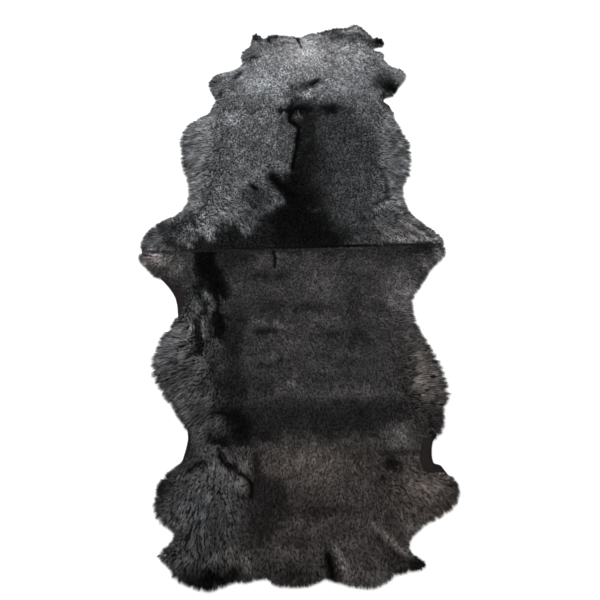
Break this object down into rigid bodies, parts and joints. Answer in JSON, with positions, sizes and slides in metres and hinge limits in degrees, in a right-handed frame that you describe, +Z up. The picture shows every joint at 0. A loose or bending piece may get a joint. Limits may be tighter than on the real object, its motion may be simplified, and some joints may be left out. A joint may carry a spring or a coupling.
{
  "type": "sheepskin rug",
  "caption": "Long sheepskin rug of two pelts joined end to end at a cross seam, lying flat with its grey-black wool up.",
  "frame": {"origin": "middle of the rug's box seen from above, at the floor under the skins", "axes": "+Y along the rug towards the neck of the upper pelt, +X across it to the right, +Z up out of the wool"},
  "size_m": [0.8618, 1.8996, 0.0291],
  "materials": {
    "upper_wool": "dyed sheep's wool, cool grey tips over black roots",
    "lower_wool": "dyed sheep's wool, brown-black with dull grey tips",
    "skin": "dark dyed tanned skin, matt"
  },
  "bodies": {
    "root": {"upper_wool": "upper_wool", "lower_wool": "lower_wool", "upper_skin": "skin", "lower_skin": "skin"}
  },
  "joints": []
}
